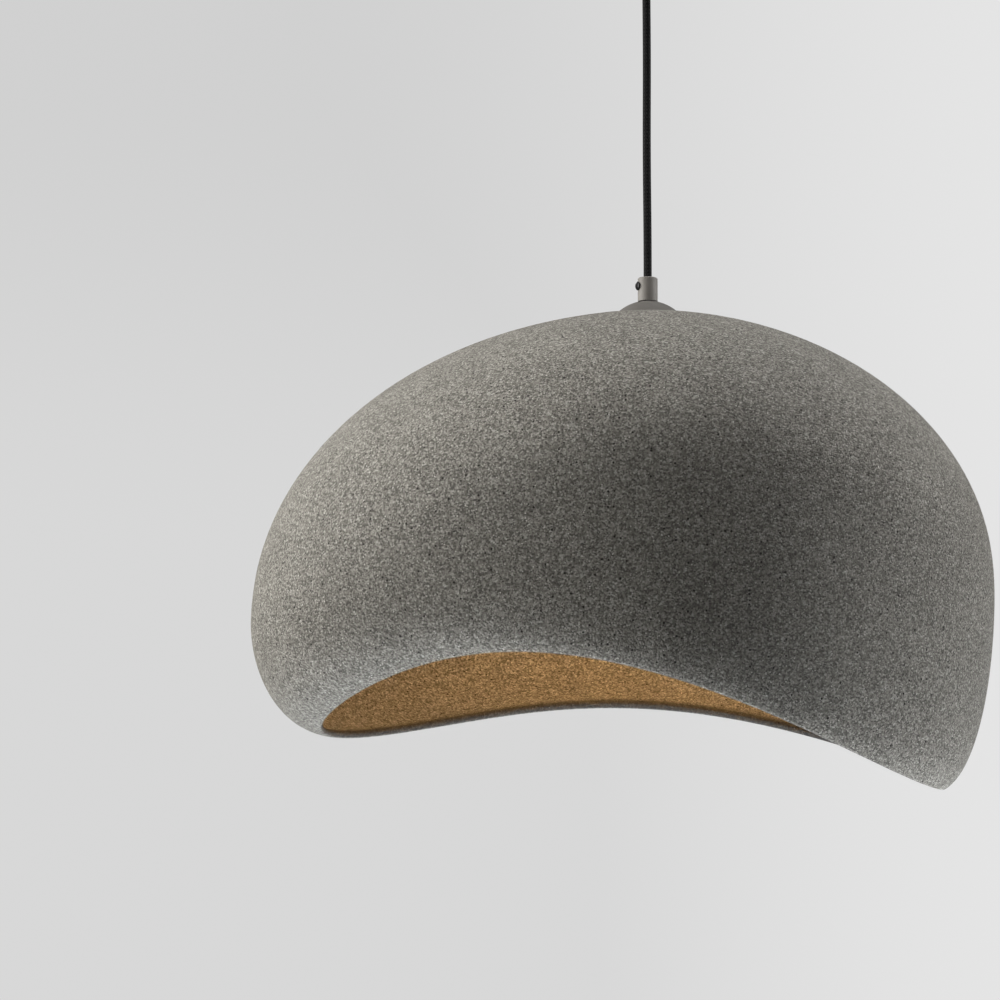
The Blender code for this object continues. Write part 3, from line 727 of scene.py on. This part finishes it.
def make_lampholder():
    """The holder's domed cap, and its shell with grip ribs round it."""
    low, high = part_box("lampholder_cap")
    radius = high.x
    wall = 1.8 * MM
    shoulder = 9.0 * MM
    bend = radius - shoulder
    centre = (shoulder, high.z - bend)
    outline = [(NIPPLE_HOLE, high.z), *arc(centre, bend, 90, 0, 12)]
    outline += [(radius, low.z), (radius - wall, low.z)]
    outline += [*arc(centre, bend - wall, 0, 90, 10), (NIPPLE_HOLE, high.z - wall)]
    cap = turned("lampholder_cap_moulded", outline, 72, 0.2 * MM)
    place(cap, BLACK_PLASTIC, "black_plastic", "shade", "lampholder_cap")

    low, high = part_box("lampholder_shell")
    lip = 15.2 * MM
    outline = [(radius - wall, high.z), (radius, high.z)]
    ribs = 5
    rib = 2.6 * MM
    depth = 0.6 * MM
    slope = 0.4 * MM
    for index in range(ribs):
        top = high.z - 5 * MM - index * rib * 1.6
        foot = top - rib * 0.6
        outline += [(radius, top), (radius - depth, top - slope), (radius - depth, foot),
                    (radius, foot - slope)]
    outline += [(radius, low.z), (lip, low.z), (lip, low.z + wall), (radius - wall, low.z + wall)]
    shell = turned("lampholder_shell_moulded", outline, 72, 0.15 * MM)
    place(shell, BLACK_PLASTIC, "black_plastic", "shade", "lampholder_shell")


def make_globe():
    """The opal globe: a hollow ball that narrows to its neck."""
    low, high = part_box("bulb_globe")
    ball = 30.0 * MM
    wall = 1.2 * MM
    neck = 20.0 * MM
    centre = (0, low.z + ball)
    outer = [(0, low.z), *arc(centre, ball, -90, 28, 24)[1:]]
    inner = [*arc(centre, ball - wall, 28, -90, 24)[:-1], (0, low.z + wall)]
    bend = [(25.0 * MM, centre[1] + 17.2 * MM), (22.5 * MM, high.z - 5 * MM),
            (neck + 0.3 * MM, high.z - 1.5 * MM)]
    back = [(radius - wall, height) for radius, height in reversed(bend)]
    outline = [*outer, *bend, (neck, high.z), (neck - wall, high.z), *back, *inner]
    globe = turned("bulb_opal_globe", outline, 72)
    place(globe, OPAL, "opal_glass", "bulb", "bulb_globe")


def make_collar():
    """The moulded collar: a closed top that widens down to the globe."""
    low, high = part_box("bulb_collar")
    wide = high.x
    thin = 1.5 * MM
    flare = low.z + 6 * MM
    step = high.z - 6 * MM
    roof = high.z - 2 * MM
    outside = [(0, high.z), (12.8 * MM, high.z), (13.4 * MM, high.z - 0.6 * MM), (15 * MM, step),
               (18.2 * MM, flare), (wide, low.z + 1 * MM), (wide, low.z)]
    inside = [(wide - thin, low.z), (16.7 * MM, flare), (13.2 * MM, step), (11 * MM, roof),
              (0, roof)]
    collar = turned("bulb_collar_moulded", outside + inside, 72)
    place(collar, WHITE_PLASTIC, "white_plastic", "bulb", "bulb_collar")


def make_screw_base():
    """The rolled thread that screws into the holder: a stack of round crests."""
    low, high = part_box("bulb_screw_base")
    crest = high.x
    pitch = 3.6 * MM * 0.92
    turns = 5
    roll = 0.8 * MM
    start = high.z - 4.2 * MM
    outline = [(0, high.z), (5 * MM, high.z), (11 * MM, high.z - 2.5 * MM),
               (crest - roll, high.z - 3.6 * MM)]
    for index in range(turns):
        outline += arc((crest - roll, start - (index + 0.5) * pitch), roll, 75, -75, 6)
    rim = crest - 0.3 * MM
    outline += [(rim, low.z + 0.4 * MM), (rim, low.z), (0, low.z)]
    base = turned("bulb_rolled_thread", outline, 64)
    place(base, ALUMINIUM, "bare_aluminium", "bulb", "bulb_screw_base")


# --- CAD pieces that keep their shape ---------------------------------------------

KEPT = (
    (BRASS, ("earth_screw", "socket_screw_shell", "socket_centre_contact",
             "bulb_centre_contact")),
    (ZINC, ("block_screw", "shade_washer", "threaded_nipple", "terminal_screw_1",
            "terminal_screw_2", "terminal_screw_3", "terminal_screw_4")),
    (CERAMIC, ("lampholder_core",)),
    (BOARD, ("bulb_led_board",)),
    (BROWN, ("ceiling_live_lead", "lamp_live_lead")),
    (BLUE, ("ceiling_neutral_lead", "lamp_neutral_lead")),
)


def finish_kept():
    """Gives the small and hidden CAD pieces their finishes; their shapes stay."""
    for finish, names in KEPT:
        for name in names:
            mesh = nodes[name].data
            mesh.materials.clear()
            mesh.materials.append(finish)


# --- Studio -----------------------------------------------------------------------

FLOOR_DEPTH = 6.5
FLOOR_SIZE = 120.0
FLOOR_GLOW = 0.66
WHITE = (1.0, 1.0, 1.0, 1.0)


def make_floor():
    """A pale floor far below. It looks evenly lit, but hardly lights the lamp from below."""
    put_down()
    bpy.ops.mesh.primitive_plane_add(size=FLOOR_SIZE, location=(0, 0, -FLOOR_DEPTH))
    floor = settle("studio_floor")
    pale = Finish("pale_floor", Roughness=0.8)
    cloud = pale.noise(pale.place(), 0.4, 3.0)
    colour = pale.ramp(cloud, (0.3, (0.60, 0.605, 0.61)), (0.7, (0.63, 0.635, 0.64)))
    pale.surface(Base_Color=colour)
    seen = pale.node("ShaderNodeLightPath").out("Is Camera Ray")
    glow = pale.node("ShaderNodeEmission", None, {"Color": WHITE, "Strength": FLOOR_GLOW}).out()
    skin = Level(pale, pale.shader.outputs[0])
    mixed = pale.node("ShaderNodeMixShader", None, {0: seen, 1: skin, 2: glow}).out()
    pale.feed(pale.tree.nodes["Material Output"].inputs["Surface"], mixed)
    floor.data.materials.append(pale.material)


SKY_COLOUR = (1.0, 0.99, 0.97, 1.0)
SKY_STRENGTH = 0.1
BACKDROP_TOP_LEFT = 0.635
BACKDROP_RIGHT = 0.15
BACKDROP_LOW = 0.05
SIDE_SWEEP = (-0.04, 0.11)
LOW_SWEEP = (0.24, 0.15)


def make_sky():
    """Dim even light all round, with a plain pale backdrop a little brighter to the right."""
    world = bpy.data.worlds.new("studio")
    bpy.context.scene.world = world
    world.use_nodes = True
    tree = world.node_tree
    tree.nodes.clear()

    def node(kind, sockets, **settings):
        """Adds a node, with its settings first and then its sockets."""
        added = tree.nodes.new(kind)
        for key, value in settings.items():
            setattr(added, key, value)
        for key, value in sockets.items():
            if isinstance(value, bpy.types.NodeSocket):
                tree.links.new(value, added.inputs[key])
            else:
                added.inputs[key].default_value = value
        return added

    def sweep(level, ends, most):
        """A soft rise from nothing to the most, as the level goes from one end to the other."""
        sockets = {"Value": level, "From Min": ends[0], "From Max": ends[1],
                   "To Min": 0.0, "To Max": most}
        return node("ShaderNodeMapRange", sockets, interpolation_type="SMOOTHSTEP").outputs[0]

    way = node("ShaderNodeTexCoord", {}).outputs["Generated"]
    across, _, up = node("ShaderNodeSeparateXYZ", {"Vector": way}).outputs
    right = sweep(across, SIDE_SWEEP, BACKDROP_RIGHT)
    low = sweep(up, LOW_SWEEP, BACKDROP_LOW)
    shine = node("ShaderNodeMath", {0: right, 1: low}, operation="MAXIMUM")
    backdrop = node("ShaderNodeMath", {0: shine.outputs[0], 1: BACKDROP_TOP_LEFT})
    lit = node("ShaderNodeBackground", {"Color": SKY_COLOUR, "Strength": SKY_STRENGTH})
    plain = node("ShaderNodeBackground", {"Color": WHITE, "Strength": backdrop.outputs[0]})
    seen = node("ShaderNodeLightPath", {}).outputs["Is Camera Ray"]
    mixed = node("ShaderNodeMixShader", {0: seen, 1: lit.outputs[0], 2: plain.outputs[0]})
    node("ShaderNodeOutputWorld", {"Surface": mixed.outputs[0]})


LAMP_TARGET = (0, 0, -0.45)
WARM_WHITE = (1.0, 0.985, 0.95)
SOFT_WHITE = (1.0, 0.985, 0.965)
NEUTRAL = (1, 1, 1)
COOL_WHITE = (0.92, 0.96, 1.0)
# name, place, width and height, watts, colour
SOFTBOXES = (
    ("left_softbox", (-2.6, -0.22, 0.4), (2.0, 2.4), 142.0, WARM_WHITE),
    ("top_softbox", (0.5, -0.35, 2.0), (2.2, 2.0), 36.0, SOFT_WHITE),
    ("right_softbox", (2.4, 0.15, 0.5), (1.6, 2.0), 57.0, NEUTRAL),
    ("under_softbox", (0.2, 0.24, -1.9), (1.2, 0.5), 46.0, COOL_WHITE),
)


def make_softbox(name, where, size, power, colour):
    """A rectangular lamp that looks at the shade and isn't seen itself."""
    light = bpy.data.lights.new(name, "AREA")
    light.shape = "RECTANGLE"
    light.size, light.size_y = size
    light.energy = power
    light.color = colour
    lamp = bpy.data.objects.new(name, light)
    bpy.context.scene.collection.objects.link(lamp)
    lamp.location = where
    ahead = Vector(LAMP_TARGET) - Vector(where)
    lamp.rotation_euler = ahead.to_track_quat("-Z", "Y").to_euler()
    lamp.visible_camera = False


# --- The scene --------------------------------------------------------------------

make_camera()
make_cord()
make_shade()
make_grips()
make_dome_cap()
make_screws()
make_canopy()
make_fittings()
make_lampholder()
make_globe()
make_collar()
make_screw_base()
finish_kept()
make_floor()
make_sky()
for softbox in SOFTBOXES:
    make_softbox(*softbox)
bpy.context.scene.view_settings.view_transform = "Standard"
put_down()
